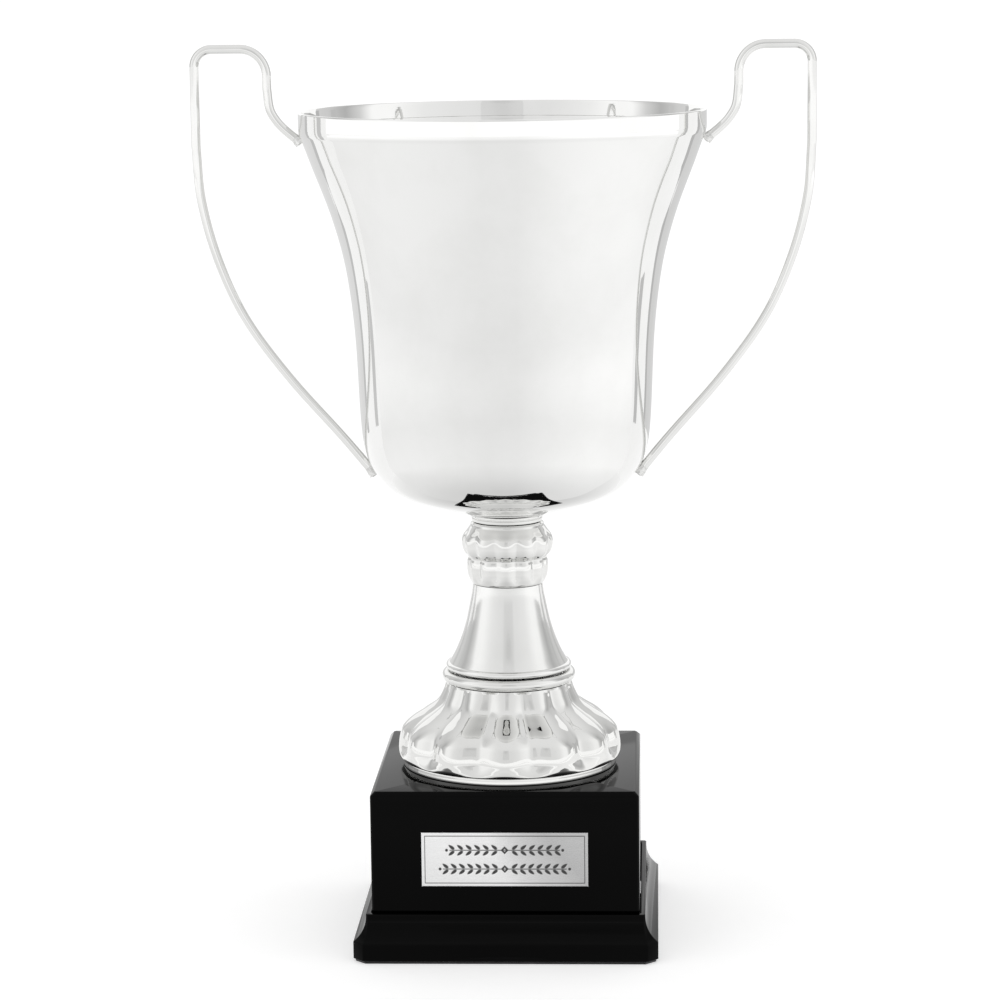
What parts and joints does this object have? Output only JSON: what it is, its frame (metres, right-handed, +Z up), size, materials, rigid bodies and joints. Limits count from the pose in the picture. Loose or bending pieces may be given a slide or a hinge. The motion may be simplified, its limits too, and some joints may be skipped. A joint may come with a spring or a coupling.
{
  "type": "cup trophy",
  "caption": "Two-handled loving cup of polished silver-plated metal on a fluted foot and a stepped black square plinth with a blank engraving plate.",
  "frame": {"origin": "bottom centre of the felt under the plinth, on the cup's axis", "axes": "+Z up along the cup's axis; -Y is the front, with the engraving plate; the handles stand out along -X and +X"},
  "size_m": [0.2338, 0.1524, 0.3383],
  "materials": {
    "silver_plate": "mirror-polished silver plate",
    "silver_wire": "polished silver-plated wire",
    "solder": "plated solder, slightly soft",
    "steel": "zinc-plated steel fixings",
    "black_plastic": "high-gloss black moulding",
    "plaster": "cast mineral filling",
    "brushed_plate": "brushed silver-coloured sheet, blank, with an engraved border",
    "tape": "double-sided adhesive tape",
    "felt": "black felt"
  },
  "bodies": {
    "root": {"bowl": "silver_plate", "neck_collar": "silver_plate", "knop": "silver_plate", "stem": "silver_plate", "foot_ring": "silver_plate", "foot": "silver_plate", "handle_left": "silver_wire", "handle_right": "silver_wire", "solder_lower_left": "solder", "solder_lower_right": "solder", "solder_upper_left": "solder", "solder_upper_right": "solder", "cup_nut": "steel", "cup_washer": "steel", "centring_disc": "steel", "tie_rod": "steel", "plinth_washer": "steel", "plinth_nut": "steel", "plinth_body": "black_plastic", "plinth_tier": "black_plastic", "plinth_weight": "plaster", "base_felt": "felt", "engraving_plate": "brushed_plate", "plate_tape": "tape"}
  },
  "joints": []
}
